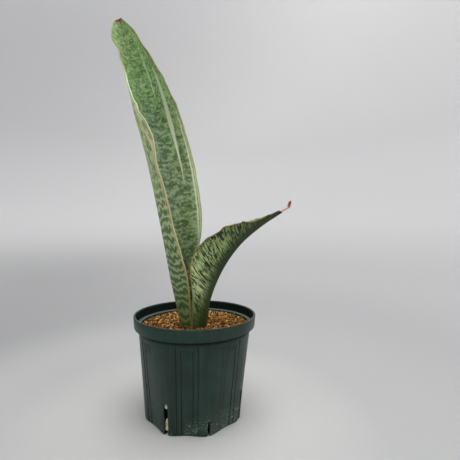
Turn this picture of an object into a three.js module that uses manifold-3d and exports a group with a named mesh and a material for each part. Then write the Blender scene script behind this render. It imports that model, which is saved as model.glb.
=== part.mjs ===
// Potted silver dragon snake plant: two thick channelled leaves in a round nursery pot with slits.
// Millimetres, +Z up. The origin is the middle of the pot's base, on the surface it stands on.
// The front of the plant looks along -Y.

import * as THREE from 'three';
import { mergeVertices } from 'three/addons/utils/BufferGeometryUtils.js';
import Module from 'manifold-3d';

const wasm = await Module();
wasm.setup();

// Driving dimensions of the pot

const FACES = 8;
const POT = {
  height: 142.5,
  rimRadius: 89.6,
  rimBottom: 125.5,
  rimTaper: 1.1,
  rimWall: 2.6,
  lipRound: 0.9,
  neckRadius: 82,
  neckHeight: 122.5,
  baseCornerRadius: 72,
  baseRound: 1.3,
  wall: 2.2,
  floor: 2.4,
  ledgeTop: 129.5,
  footInnerRadius: 46,
  footRise: 4,
  bossRadius: 13,
  cornerTurn: 21.2,
};
const PANEL = {
  outerHalfWidth: 15,
  innerHalfWidth: 7.7,
  outerTop: 119,
  innerTop: 112,
  step: 0.6,
  wallRun: 0.5,
};
const SLIT = {
  longWidth: 4.8,
  longTop: 39,
  shortWidth: 3,
  shortTop: 17,
  floorReach: 24,
};

// Driving dimensions of what fills the pot

const GAP = 0.3;
const FILL_ROOM = 0.8;
const SOIL = { top: 127, edgeDrop: 3, grain: 2.2, rings: 14, seed: 7 };
const PUMICE = { top: 40, footRoom: 1.2 };

// Driving dimensions of the rhizome and its roots, all under the soil

const RHIZOME = { radius: 9, height: 90, from: -25, to: 25, setBack: -19, sides: 12 };
const ROOT = { count: 7, radius: 1.6, reach: 34, drop: 36, sides: 5, steps: 4 };

// Driving dimensions of the leaves
// Each list has evenly spaced values from the soil to the tip. x, y and z give the line along
// the bottom of the channel. leftWidth and rightWidth are measured along the surface from that
// line to each margin, and left is the side at -X where the leaf opens to the front.
// facing is the compass direction, in degrees from the front towards +X, that the channel opens to.
// fold is the slope of each wing where it leaves the middle line, and curl is how much it turns
// further on the way to its margin. keel and edge are the thicknesses at the middle and margin.
// A wave pushes a margin out by some millimetres, at a place given as a share of the length.

const TALL_LEAF = {
  x: [-12, -29, -41, -55, -70, -83, -107],
  y: [-14, -20, -31, -31, -27, -31, -40],
  z: [126, 198, 270, 342, 414, 486, 558],
  leftWidth: [21, 45, 55, 58, 54, 34, 21],
  rightWidth: [11, 31, 54, 58, 53, 36, 20],
  facing: [60, 68, 63, 58, 47, 20, -12],
  fold: [46, 30, 19, 33],
  curl: [34, 42, 56, 50],
  keel: [9, 7.5, 6, 4.5, 3.5, 2.5],
  edge: [2.2, 2, 1.8, 1.5],
  tipStart: 0.93,
  rows: 42,
  leftWaves: [
    { at: 0.335, out: -2.2, length: 0.028 },
    { at: 0.42, out: 1.8, length: 0.03 },
    { at: 0.53, out: -2, length: 0.035 },
    { at: 0.66, out: 2.4, length: 0.035 },
    { at: 0.9, out: -3.4, length: 0.014 },
    { at: 0.935, out: 2.4, length: 0.02 },
    { at: 0.978, out: -3, length: 0.008 },
  ],
  rightWaves: [
    { at: 0.72, out: 1.2, length: 0.018 },
    { at: 0.94, out: 1.8, length: 0.016 },
  ],
};
const SHORT_LEAF = {
  x: [10, 17, 35, 61, 91, 122],
  y: [-16, -22, -26, -29, -30, -32],
  z: [126, 168, 211, 247, 273, 293],
  leftWidth: [8, 18, 38, 42, 18, 7],
  rightWidth: [18, 30, 47, 42, 18, 7],
  facing: [-70, -70, -94, -91, -88, -95],
  fold: [41, 38, 16],
  curl: [27, 29, 16],
  keel: [9, 7.5, 6, 4.5, 3.5, 2.2],
  edge: [2.2, 2, 1.8, 1.4],
  tipStart: 0.97,
  rows: 38,
  leftWaves: [],
  rightWaves: [
    { at: 0.52, out: 1.6, length: 0.014 },
    { at: 0.6, out: -1.6, length: 0.03 },
    { at: 0.655, out: 3.4, length: 0.012 },
    { at: 0.73, out: -1.4, length: 0.03 },
    { at: 0.9, out: 1.6, length: 0.014 },
  ],
};
const BURIED = { depth: 34, rows: 4, narrowing: 0.25 };
const WING_STEPS = 5;
const BLUNT_TIP = 0.985;

// Dead curl at the end of the short leaf, as points that follow on from its tip

const WITHERED_TIP = { halfWidth: 2, halfThickness: 0.7, steps: 9 };
const WITHERED_ROUTE = [
  [-9, 0, -4],
  [-2, 0, 0],
  [6, 0, 3.5],
  [11, -0.5, 7],
  [12.5, -1, 12],
  [14.5, -1, 17],
];

const materials = {
  pot: new THREE.MeshStandardMaterial({ color: 0x24423c, roughness: 0.55, metalness: 0 }),
  soil: new THREE.MeshStandardMaterial({ color: 0x9a6232, roughness: 1, metalness: 0 }),
  pumice: new THREE.MeshStandardMaterial({ color: 0xd9cda6, roughness: 1, metalness: 0 }),
  tallLeaf: new THREE.MeshStandardMaterial({ color: 0x5f8455, roughness: 0.5, metalness: 0 }),
  shortLeaf: new THREE.MeshStandardMaterial({ color: 0x47663c, roughness: 0.5, metalness: 0 }),
  rhizome: new THREE.MeshStandardMaterial({ color: 0xc98d4e, roughness: 0.8, metalness: 0 }),
};

const radians = THREE.MathUtils.degToRad;
const lerp = THREE.MathUtils.lerp;

// Random numbers between 0 and 1 that are the same on every run
function seededRandom(seed) {
  let state = seed;
  return () => {
    state = (state * 16807) % 2147483647;
    return state / 2147483647;
  };
}

// Value at a share of the way along a list of evenly spaced values, on a smooth curve
function along(values, share) {
  const spans = values.length - 1;
  const place = THREE.MathUtils.clamp(share, 0, 1) * spans;
  const i = Math.min(Math.floor(place), spans - 1);
  const t = place - i;
  const before = values[i - 1] ?? 2 * values[0] - values[1];
  const after = values[i + 2] ?? 2 * values[spans] - values[spans - 1];
  const a = values[i];
  const b = values[i + 1];
  const bend = 2 * before - 5 * a + 4 * b - after;
  const twist = 3 * (a - b) + after - before;
  return a + 0.5 * t * (b - before + t * (bend + t * twist));
}

// Closed solid skinned over rings of points, with both end rings capped
function skinRings(rings, capRing) {
  const sides = rings[0].length;
  const positions = rings.flat().flatMap((p) => [p.x, p.y, p.z]);
  const index = [];
  for (let r = 0; r + 1 < rings.length; r += 1) {
    for (let k = 0; k < sides; k += 1) {
      const a = r * sides + k;
      const b = r * sides + ((k + 1) % sides);
      index.push(a, b, b + sides, a, b + sides, a + sides);
    }
  }
  const last = (rings.length - 1) * sides;
  for (const [a, b, c] of capRing(sides)) {
    index.push(c, b, a);
    index.push(last + a, last + b, last + c);
  }
  const geometry = new THREE.BufferGeometry();
  geometry.setAttribute('position', new THREE.Float32BufferAttribute(positions, 3));
  geometry.setIndex(index);
  return geometry;
}

// Cap of a round ring, as a fan
function fanCap(sides) {
  const triangles = [];
  for (let k = 1; k + 1 < sides; k += 1) {
    triangles.push([0, k, k + 1]);
  }
  return triangles;
}

// Cap of a thin blade's ring, whose first half is one face and second half the other
function bladeCap(sides) {
  const triangles = [];
  for (let k = 0; k + 1 < sides / 2; k += 1) {
    const across = sides - 1 - k;
    triangles.push([k, k + 1, across - 1]);
    triangles.push([k, across - 1, across]);
  }
  return triangles;
}

function toSolid(geometry) {
  const bare = geometry.clone();
  bare.deleteAttribute('normal');
  bare.deleteAttribute('uv');
  const merged = mergeVertices(bare, 1e-4);
  const vertProperties = new Float32Array(merged.attributes.position.array);
  const triVerts = new Uint32Array(merged.index.array);
  return new wasm.Manifold(new wasm.Mesh({ numProp: 3, vertProperties, triVerts }));
}

function toGeometry(solid) {
  const mesh = solid.getMesh();
  const geometry = new THREE.BufferGeometry();
  geometry.setAttribute('position', new THREE.Float32BufferAttribute(mesh.vertProperties, 3));
  geometry.setIndex(Array.from(mesh.triVerts));
  geometry.computeVertexNormals();
  return geometry;
}

// Pot

// Radius of a pot wall whose corners are at cornerRadius: an octagon below, a circle at the neck
function wallRadius(cornerRadius, height, angle) {
  const sector = (2 * Math.PI) / FACES;
  const fromFaceMiddle = THREE.MathUtils.euclideanModulo(angle, sector) - sector / 2;
  const flat = Math.cos(sector / 2) / Math.cos(fromFaceMiddle);
  const flatness = 1 - THREE.MathUtils.clamp(height / POT.neckHeight, 0, 1);
  return cornerRadius * lerp(1, flat, flatness);
}

function cornerRadiusAt(height) {
  return lerp(POT.baseCornerRadius, POT.neckRadius, height / POT.neckHeight);
}

// Point on the pot, with the angle counted from a corner, and the corners turned to their place
function potPoint(radius, angle, height) {
  const turned = angle + radians(POT.cornerTurn);
  return new THREE.Vector3(radius * Math.sin(turned), -radius * Math.cos(turned), height);
}

// Columns of one face: offset from the face's middle in millimetres and how deep the panel is there
function faceColumns() {
  const { outerHalfWidth, innerHalfWidth, step, wallRun } = PANEL;
  const half = [
    { offset: innerHalfWidth - wallRun, depth: 2 * step },
    { offset: innerHalfWidth, depth: step },
    { offset: outerHalfWidth - wallRun, depth: step },
    { offset: outerHalfWidth, depth: 0 },
  ];
  const mirrored = half.map((c) => ({ ...c, offset: -c.offset })).reverse();
  return [...mirrored, ...half];
}

// Ring with a point at each corner and at each column of each face
function facedRing(height, cornerRadius, columns, depthOf) {
  const sector = (2 * Math.PI) / FACES;
  const ring = [];
  for (let face = 0; face < FACES; face += 1) {
    const corner = wallRadius(cornerRadius, height, face * sector);
    ring.push(potPoint(corner, face * sector, height));
    for (const column of columns) {
      const angle = (face + 0.5) * sector + Math.asin(column.offset / cornerRadius);
      const radius = wallRadius(cornerRadius, height, angle) - depthOf(column);
      ring.push(potPoint(radius, angle, height));
    }
  }
  return ring;
}

// Ring round the pot, with the share of the inner and outer panel steps that this height has
function potRing(height, cornerRadius, innerShare, outerShare) {
  return facedRing(height, cornerRadius, faceColumns(), (column) => {
    const inner = Math.max(column.depth - PANEL.step, 0) * innerShare;
    const outer = Math.min(column.depth, PANEL.step) * outerShare;
    return inner + outer;
  });
}

// The same ring drawn in or out to one even radius
function evenRing(ring, radius, height) {
  return ring.map((p) => {
    const share = radius / Math.hypot(p.x, p.y);
    return new THREE.Vector3(p.x * share, p.y * share, height);
  });
}

function potGeometry() {
  const { rimRadius, rimTaper, rimBottom, rimWall, lipRound, height, wall, floor } = POT;
  const { footInnerRadius, footRise, bossRadius, neckRadius, neckHeight, baseRound } = POT;
  const { ledgeTop } = POT;
  const { innerTop, outerTop, wallRun } = PANEL;
  const rimLow = rimRadius - rimTaper;
  const innerCorner = (z) => cornerRadiusAt(z) - wall;
  const baseRing = potRing(0, POT.baseCornerRadius, 0, 0);
  const neckRing = potRing(neckHeight, neckRadius, 0, 0);
  const low = (z, radius) => evenRing(baseRing, radius, z);
  const high = (z, radius) => evenRing(neckRing, radius, z);
  const rings = [
    low(0, bossRadius),
    low(footRise, bossRadius + footRise / 2),
    low(footRise, footInnerRadius - footRise),
    low(0, footInnerRadius),
    potRing(0, POT.baseCornerRadius - baseRound, 1, 1),
    potRing(baseRound, cornerRadiusAt(baseRound), 1, 1),
    potRing(innerTop - wallRun, cornerRadiusAt(innerTop), 1, 1),
    potRing(innerTop, cornerRadiusAt(innerTop), 0, 1),
    potRing(outerTop - wallRun, cornerRadiusAt(outerTop), 0, 1),
    potRing(outerTop, cornerRadiusAt(outerTop), 0, 0),
    high(neckHeight, neckRadius),
    high(rimBottom - 1, lerp(neckRadius, rimLow, 0.3)),
    high(rimBottom, lerp(neckRadius, rimLow, 0.75)),
    high(rimBottom + 2, rimLow),
    high(height - lipRound, rimRadius),
    high(height, rimRadius - lipRound),
    high(height, rimRadius - rimWall + lipRound / 2),
    high(height - lipRound, rimRadius - rimWall),
    high(ledgeTop + 1, rimLow - rimWall),
    high(ledgeTop, rimLow - rimWall - 1),
    high(ledgeTop, neckRadius - wall + 1),
    high(ledgeTop - 1.5, neckRadius - wall),
    high(neckHeight, neckRadius - wall),
    potRing(neckHeight / 2, innerCorner(neckHeight / 2), 0, 0),
    potRing(floor, innerCorner(floor), 0, 0),
    low(floor, footInnerRadius + floor),
    low(floor + footRise, footInnerRadius + floor - footRise),
  ];
  return skinRings(rings, fanCap);
}

// Box that cuts one slit through the wall at a corner and on under the base
function slitCutter(corner) {
  const isLong = corner % 2 === 1;
  const width = isLong ? SLIT.longWidth : SLIT.shortWidth;
  const top = isLong ? SLIT.longTop : SLIT.shortTop;
  const below = 2;
  const past = 10;
  const length = SLIT.floorReach + past;
  const box = new THREE.BoxGeometry(width, length, top + below);
  box.translate(0, -(POT.baseCornerRadius - SLIT.floorReach + length / 2), (top - below) / 2);
  box.rotateZ(radians(POT.cornerTurn + (corner * 360) / FACES));
  return toSolid(box);
}

function makePot() {
  let pot = toSolid(potGeometry());
  for (let corner = 0; corner < FACES; corner += 1) {
    pot = pot.subtract(slitCutter(corner));
  }
  return toGeometry(pot);
}

// Leaves

// One point of a leaf's blade: its inner face and its outer face
// share runs from the soil to the tip, and across from one margin at -1 to the other at 1
function bladePoint(leaf, share, across) {
  const spot = (s) => new THREE.Vector3(along(leaf.x, s), along(leaf.y, s), along(leaf.z, s));
  const nudge = 0.001;
  const up = spot(Math.min(share + nudge, 1)).sub(spot(Math.max(share - nudge, 0))).normalize();
  const facing = radians(along(leaf.facing, share));
  const open = new THREE.Vector3(Math.sin(facing), -Math.cos(facing), 0);
  open.addScaledVector(up, -open.dot(up)).normalize();
  const sideways = new THREE.Vector3().crossVectors(up, open);
  const side = Math.sign(across);
  const out = Math.abs(across);
  const fold = radians(along(leaf.fold, share));
  const curl = radians(along(leaf.curl, share));
  const width = wingWidth(leaf, share, side) / curl;
  const slope = fold + curl * out;
  const inner = spot(share);
  inner.addScaledVector(sideways, side * width * (Math.sin(slope) - Math.sin(fold)));
  inner.addScaledVector(open, width * (Math.cos(fold) - Math.cos(slope)));
  const normalTurn = slope * THREE.MathUtils.smoothstep(out, 0, 0.3);
  const edge = along(leaf.edge, share);
  const thickness = edge + (along(leaf.keel, share) - edge) * (1 - out) ** 1.2;
  const outer = inner.clone();
  outer.addScaledVector(sideways, side * thickness * Math.sin(normalTurn));
  outer.addScaledVector(open, -thickness * Math.cos(normalTurn));
  return { inner, outer };
}

// Width of one wing, with the waves of its margin and the round of the tip
function wingWidth(leaf, share, side) {
  const tip = THREE.MathUtils.clamp((share - leaf.tipStart) / (1 - leaf.tipStart), 0, 1);
  const waves = side < 0 ? leaf.leftWaves : leaf.rightWaves;
  let width = along(side < 0 ? leaf.leftWidth : leaf.rightWidth, share);
  for (const wave of waves) {
    width += wave.out * Math.exp(-(((share - wave.at) / wave.length) ** 2));
  }
  return width * Math.sqrt(1 - (BLUNT_TIP * tip) ** 2);
}

// Ring of points round the blade: across the inner face, then back across the outer face
function bladeRing(leaf, share, swell) {
  const inner = [];
  const outer = [];
  for (let k = -WING_STEPS; k <= WING_STEPS; k += 1) {
    const point = bladePoint(leaf, share, k / WING_STEPS);
    const away = point.outer.clone().sub(point.inner).normalize();
    inner.push(point.inner.addScaledVector(away, -swell));
    outer.push(point.outer.addScaledVector(away, swell));
  }
  const widen = (face, end, next) => {
    const reach = face[end].clone().sub(face[next]).normalize();
    face[end].addScaledVector(reach, swell);
  };
  for (const face of [inner, outer]) {
    widen(face, 0, 1);
    widen(face, face.length - 1, face.length - 2);
  }
  return [...inner, ...outer.reverse()];
}

// The leaf with its buried foot. swell grows it on every side, to make the hole it stands in
function leafSolid(leaf, swell = 0) {
  const rings = [];
  const foot = new THREE.Vector3(along(leaf.x, 0), along(leaf.y, 0), 0);
  for (let row = BURIED.rows; row > 0; row -= 1) {
    const down = row / BURIED.rows;
    const ring = bladeRing(leaf, 0, swell).map((p) => {
      const level = new THREE.Vector3(foot.x, foot.y, p.z);
      const narrowed = p.lerp(level, BURIED.narrowing * down);
      narrowed.z -= BURIED.depth * down;
      return narrowed;
    });
    rings.push(ring);
  }
  rings[0].forEach((p) => {
    p.z -= swell;
  });
  for (let row = 0; row <= leaf.rows; row += 1) {
    rings.push(bladeRing(leaf, row / leaf.rows, swell));
  }
  return toSolid(skinRings(rings, bladeCap));
}

// Tube along a route, with a section given as a closed shape
function tubeSolid(shape, route, steps) {
  const path = new THREE.CatmullRomCurve3(route);
  const tube = new THREE.ExtrudeGeometry(shape, { steps, extrudePath: path, bevelEnabled: false });
  return toSolid(tube);
}

function witheredTip(leaf) {
  const tip = new THREE.Vector3(leaf.x.at(-1), leaf.y.at(-1), leaf.z.at(-1));
  const route = WITHERED_ROUTE.map(([x, y, z]) => new THREE.Vector3(x, y, z).add(tip));
  const { halfWidth, halfThickness, steps } = WITHERED_TIP;
  const lens = new THREE.Shape([
    new THREE.Vector2(-halfThickness, 0),
    new THREE.Vector2(0, -halfWidth),
    new THREE.Vector2(halfThickness, 0),
    new THREE.Vector2(0, halfWidth),
  ]);
  return tubeSolid(lens, route, steps);
}

// Rhizome

function regularShape(radius, sides) {
  const points = [];
  for (let k = 0; k < sides; k += 1) {
    const angle = (k / sides) * 2 * Math.PI;
    points.push(new THREE.Vector2(radius * Math.cos(angle), radius * Math.sin(angle)));
  }
  return new THREE.Shape(points);
}

// The thick underground stem that both leaves grow from, with its roots
function rhizomeSolid(swell = 0) {
  const { radius, height, from, to, setBack, sides } = RHIZOME;
  const ends = [from - swell, to + swell];
  const spot = (x, rise) => new THREE.Vector3(x, setBack, height + rise);
  const route = [spot(ends[0], -2), spot(0, 0), spot(ends[1], -1)];
  let solid = tubeSolid(regularShape(radius + swell, sides), route, 8);
  for (let k = 0; k < ROOT.count; k += 1) {
    const share = k / (ROOT.count - 1);
    const start = spot(lerp(from + radius / 2, to - radius / 2, share), -radius / 2);
    const heading = radians(60 * (k % 2 ? 1 : -1) + 180 * share);
    const bend = new THREE.Vector3(Math.cos(heading), Math.sin(heading), 0);
    const root = [
      start,
      start.clone().addScaledVector(bend, ROOT.reach / 2).setZ(start.z - ROOT.drop / 3),
      start.clone().addScaledVector(bend, ROOT.reach + swell).setZ(start.z - ROOT.drop - swell),
    ];
    solid = solid.add(tubeSolid(regularShape(ROOT.radius + swell, ROOT.sides), root, ROOT.steps));
  }
  return solid;
}

// Fillings of the pot

// Ring of what fills the pot, clear of the wall. Its edges are split in two, so that
// the added points stay on the straight line between the wall's own corners
function fillRing(height) {
  const { outerHalfWidth } = PANEL;
  const cornerRadius = cornerRadiusAt(Math.min(height, POT.neckHeight)) - POT.wall - FILL_ROOM;
  const columns = [{ offset: -outerHalfWidth }, { offset: 0 }, { offset: outerHalfWidth }];
  const ring = facedRing(height, cornerRadius, columns, () => 0);
  return ring.flatMap((p, k) => [p, p.clone().lerp(ring[(k + 1) % ring.length], 0.5)]);
}

// The ring drawn in towards the middle to a share of its radius
function shrunkRing(ring, share) {
  return ring.map((p) => new THREE.Vector3(p.x * share, p.y * share, p.z));
}

// Layer of pumice grains at the bottom, over the pot's raised middle
function makePumice() {
  const low = POT.floor + GAP;
  const bottom = fillRing(low);
  const hollow = POT.footInnerRadius + POT.floor + PUMICE.footRoom;
  const rings = [
    evenRing(bottom, hollow - POT.footRise, low + POT.footRise),
    evenRing(bottom, hollow, low),
    bottom,
    fillRing(PUMICE.top),
  ];
  return toGeometry(toSolid(skinRings(rings, fanCap)));
}

// Soil with a grainy top, domed a little, with plain holes for the leaves and the rhizome
function makeSoil(buried) {
  const random = seededRandom(SOIL.seed);
  const rim = fillRing(SOIL.top - SOIL.edgeDrop);
  const walls = [PUMICE.top + GAP, POT.neckHeight / 2, POT.neckHeight].map(fillRing);
  const rings = [...walls, rim];
  for (let r = 1; r <= SOIL.rings; r += 1) {
    const share = 1 - r / (SOIL.rings + 0.5);
    const dome = SOIL.edgeDrop * (1 - share ** 2);
    const ring = shrunkRing(rim, share);
    ring.forEach((p) => {
      p.z += dome + (random() - 0.5) * SOIL.grain;
    });
    rings.push(ring);
  }
  let soil = toSolid(skinRings(rings, fanCap));
  for (const solid of buried) {
    soil = soil.subtract(solid);
  }
  return toGeometry(soil);
}

const part = new THREE.Group();

function place(name, geometry, material) {
  const mesh = new THREE.Mesh(geometry, material);
  mesh.name = name;
  part.add(mesh);
}

const rhizomeHole = rhizomeSolid(GAP);
const tallLeaf = leafSolid(TALL_LEAF).subtract(rhizomeHole);
const shortLeaf = leafSolid(SHORT_LEAF).add(witheredTip(SHORT_LEAF)).subtract(rhizomeHole);
const holes = [leafSolid(TALL_LEAF, GAP), leafSolid(SHORT_LEAF, GAP), rhizomeHole];

place('pot', makePot(), materials.pot);
place('pumice_layer', makePumice(), materials.pumice);
place('potting_soil', makeSoil(holes), materials.soil);
place('rhizome', toGeometry(rhizomeSolid()), materials.rhizome);
place('leaf_tall', toGeometry(tallLeaf), materials.tallLeaf);
place('leaf_short', toGeometry(shortLeaf), materials.shortLeaf);

export default part;
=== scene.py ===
# Potted silver dragon snake plant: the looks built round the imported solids.
# Sizes are in millimetres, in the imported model's frame, and become metres where a mesh is made.
# +Z is up, the origin is the middle of the pot's base, and the front of the plant looks along -Y.

import math
from types import SimpleNamespace as Values

import bmesh
import bpy
import numpy as np
from mathutils import Matrix, Vector


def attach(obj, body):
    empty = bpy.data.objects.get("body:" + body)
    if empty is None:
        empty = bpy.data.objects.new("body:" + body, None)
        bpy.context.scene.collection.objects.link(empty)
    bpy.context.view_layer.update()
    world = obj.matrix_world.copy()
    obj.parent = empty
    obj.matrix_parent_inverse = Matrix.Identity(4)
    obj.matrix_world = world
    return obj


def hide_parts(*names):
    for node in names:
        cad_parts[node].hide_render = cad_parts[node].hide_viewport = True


MM = 0.001

# Pot

FACES = 8
SECTOR = 2 * math.pi / FACES
POT = Values(
    height=142.5, rim_radius=89.6, rim_bottom=125.5, rim_taper=1.1, rim_wall=2.6,
    lip_round=0.9, neck_radius=82, neck_height=122.5, base_corner=73,
    base_round=1.3, wall=2.2, floor=2.4, ledge_top=129.5, foot_inner=46,
    foot_rise=4, boss=13, corner_turn=21.2, corner_cut=0.974,
)
# The lines at the panels' edges get painted shade
PANEL = Values(
    outer_half=15, inner_half=8.4, outer_top=119, inner_top=113.5,
    step=0.6, line_width=1.1, line_depth=0.3, line_dirt=0.5,
    column_splits=(6, 1, 1, 3, 1, 1, 6), wall_rows=9,
)
SLIT = {
    "long_width": 6, "long_top": 42, "short_width": 3, "short_top": 18.5, "reach": 24,
    "arch_steps": 12, "arch_rise": 0.5, "below": 2, "beyond": 10,
}
ROUND_STEPS = 4
SHARP_ANGLE = 28
# Share of the way out to the rim, and rise from its lower edge
RIM_FLARE = ((0.12, -1.8), (0.3, -1), (0.75, 0), (0.93, 0.7), (1, 2))
# Painted shading: painted shade in the panel lines, under the rim, under the base and inside
# is dark from 0 to 1, and a painted highlight on the lip and the ledge is pale from 0 to -1
LIP_HIGHLIGHT = -0.3
LEDGE_HIGHLIGHT = -0.7

# Fillings

FILL_ROOM = 0.8
FILL_GAP = 0.3
FILL_SIDES = 96
SOIL = Values(
    top=127.6, edge_drop=0.8, under_grains=1, levels=(60, 90), rings=60,
    bump=1.1, sunk=(-0.6, 0.5), tint=0.1, seed=7,
)
SOIL_GRAINS = {"large": 900, "small": 5000, "large_size": (2.2, 4.2), "small_size": (1.3, 2.4)}
GRAIN_STRETCH = (0.72, 1.2)
GRAIN_ROUGHNESS = (0.84, 1.12)
PUMICE = Values(
    top=42, setback=3.4, foot_room=1.2, grain_size=(4.2, 7), seed=11,
    heaps=((6, 18, 16), (34, 40, 9)), spread=5,
)

# Leaves. The lists have evenly spaced values from the soil to the tip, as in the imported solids.
# A wave or fold of a margin has its place as a share of the length, its height and its length.

TALL_LEAF = {
    "x": [-12, -29, -41, -55, -70, -83, -107],
    "y": [-14, -20, -31, -31, -27, -31, -40],
    "z": [126, 198, 270, 342, 414, 486, 558],
    "left_width": [23.5, 46, 55, 58, 54, 34, 21],
    "right_width": [11, 31, 54, 58, 53, 36, 20],
    "facing": [60, 68, 63, 58, 47, 20, -12],
    "fold": [46, 30, 19, 33],
    "curl": [34, 42, 56, 50],
    "keel": [9, 7.5, 6, 4.5, 3.5, 2.5],
    "edge": [2.2, 2, 1.8, 1.5],
    "tip_start": 0.93,
    "rows": 300,
    "left_waves": [
        (0.335, -2.2, 0.028), (0.42, 1.8, 0.03), (0.53, -2, 0.035), (0.66, 2.4, 0.035),
        (0.9, -3.4, 0.014), (0.935, 2.4, 0.02), (0.978, -3, 0.008),
    ],
    "right_waves": [(0.72, 1.2, 0.018), (0.8, 1.5, 0.01), (0.94, 1.8, 0.016)],
    "left_folds": [(0.575, 6, 0.045), (0.63, 3, 0.025), (0.69, 2, 0.02)],
    "right_folds": [(0.5, -1.5, 0.04), (0.62, 1.5, 0.03)],
    "ripple_seed": 3,
}
SHORT_LEAF = {
    "x": [10, 17, 35, 61, 91, 122],
    "y": [-16, -22, -26, -29, -30, -32],
    "z": [126, 168, 211, 247, 273, 293],
    "left_width": [8, 18, 38, 42, 18, 7],
    "right_width": [21, 31.5, 47, 42, 18, 7],
    "facing": [-70, -70, -94, -91, -88, -95],
    "fold": [41, 38, 16],
    "curl": [27, 29, 16],
    "keel": [9, 7.5, 6, 4.5, 3.5, 2.2],
    "edge": [2.2, 2, 1.8, 1.4],
    "tip_start": 0.97,
    "rows": 210,
    "left_waves": [],
    "right_waves": [
        (0.52, 0.8, 0.014), (0.565, -1.2, 0.03), (0.62, 2, 0.016), (0.67, -0.6, 0.02),
        (0.725, 3.4, 0.012), (0.78, -1.6, 0.03), (0.9, 1.8, 0.014),
    ],
    "left_folds": [],
    "right_folds": [(0.42, 2, 0.05), (0.6, -1.5, 0.04)],
    "ripple_seed": 5,
}
BURIED = Values(depth=34, rows=10, narrowing=0.25)
BLADE = Values(
    columns=45, channel_round=0.3, flutter_from=0.6, fold_from=0.74, thinning=1.2,
    nudge=0.001,
)
RIM_STEPS = 5
RIM_BULGE = 0.85
BLUNT_TIP = 0.985
TIP_CAP = Values(reach=1.6, steps=4)
RIPPLE = Values(waves=7, shortest=7, longest=42, width=0.35, flutter=0.5, grows=(10, 60))

# Marks on the tall leaf: face 0 is the inner and 1 the outer, wing -1 the left and 1 the right.
# A mark lies across from the middle or in from the rim, at lengths from the soil.
FAR_OFF = 99
MARKS = {
    # Painted highlight: a pale streak where the ridge beside the channel catches the light
    "painted_highlight_streak": {
        "face": 0, "wing": 1, "from": "across",
        "along": [200, 215, 228, 241, 256, 273, 289, 300, 330, 358, 372],
        "place": [39, 38.6, 38.5, 38, 37.3, 36, 35, 33.7, 30.6, 27.8, 26.5],
        "width": [0, 0.9, 1.4, 2.2, 3.2, 4.4, 6.2, 6.4, 5.4, 3.6, 0],
    },
    # Painted highlight: a thin pale line along a fold ridge higher on the right wing
    "painted_ridge_highlight": {
        "face": 0, "wing": 1, "from": "across",
        "along": [320, 335, 352, 369, 388, 407, 427, 436],
        "place": [18.6, 17.9, 16.1, 14.6, 14.2, 17.3, 15.3, 14],
        "width": [0, 0.8, 1.3, 1.4, 1.5, 1.5, 1.1, 0],
    },
    "side_line": {
        "face": 0, "wing": 1, "from": "rim",
        "along": [110, 140, 160, 220, 290, 318],
        "place": [2.6, 4.2, 5.4, 4.7, 4.2, 3.4],
        "width": [0, 1.4, 1.9, 2.2, 2, 0],
    },
    "fold_line": {
        "face": 1, "wing": -1, "from": "rim",
        "along": [100, 130, 170, 205, 231, 250, 268, 282, 296, 310],
        "place": [1.5, 2.8, 3.8, 3.4, 1.2, 4, 8, 8.5, 5, 1],
        "width": [0, 0.8, 1.2, 1.4, 2, 2.8, 3.4, 3.2, 2.4, 0],
    },
}

WITHERED_TIP = Values(
    half_width=1.5, half_thickness=0.9, curled=1.5, curled_from=0.55, curled_to=0.72,
    pinch=0.18, pinch_span=60, twist=0.9, length=40, off_margin=9, sides=14, rows=48,
    seed=9,
)
WITHERED_ROUTE = [
    (-9, 0, -4), (-2, 0, 0), (5, 0, 3), (10, -0.5, 6), (11.5, -1, 10.5), (13.5, -1, 16.5),
]

# Pattern of the leaves

LEAF_LIGHT = 1.6
BAND_SPACING = 11
ZIGZAG_WIDTH = 5.5
FACES_APART = 200

# Camera and room

COVE = Values(
    floor_radius=230, floor_rings=12, bend=620, height=1500, steps=32,
    sides=96, drop=0.1, near=100, distance_share=0.12,
)
# Painted shading of the floor and wall: darker away from the pot and where the floor bends up,
# lighter higher up
# Height up the wall, with a share of the distance from the pot, then red, green and blue
FLOOR_SHADING_TONES = (
    (0, 0.59, 0.59, 0.575), (24, 0.475, 0.475, 0.475), (100, 0.45, 0.45, 0.455),
    (200, 0.49, 0.49, 0.495), (420, 0.61, 0.61, 0.615), (680, 0.64, 0.64, 0.645),
    (1190, 0.57, 0.57, 0.57),
)
# Name, width, depth, power in watts, place and target
LIGHTS = (
    ("overhead", 1500, 1300, 19.5, (100, -50, 1750), (0, 0, 0)),
    ("front_left", 500, 500, 4, (-600, -650, 1500), (0, 0, 250)),
    ("front_right", 500, 500, 6, (650, -600, 1500), (0, 0, 250)),
)
WORLD = Values(colour=(0.59, 0.595, 0.605, 1), strength=0.46)
CAMERA = Values(
    place=(50.4, -475.2, 259.1), pitch=-0.93, roll=0.61, lens=24.64,
    sensor=36, nearest=10,
)


# Mesh helpers

def make_mesh(name, points, faces, attributes=None):
    """Smooth-shaded object from points in millimetres, with a number on each point per attribute"""
    mesh = bpy.data.meshes.new(name)
    mesh.from_pydata((np.asarray(points) * MM).tolist(), [], faces)
    mesh.validate()
    for key, values in (attributes or {}).items():
        layer = mesh.attributes.new(key, "FLOAT", "POINT")
        layer.data.foreach_set("value", np.asarray(values, np.float32))
    mesh.shade_smooth()
    piece = bpy.data.objects.new(name, mesh)
    bpy.context.scene.collection.objects.link(piece)
    return piece


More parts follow.
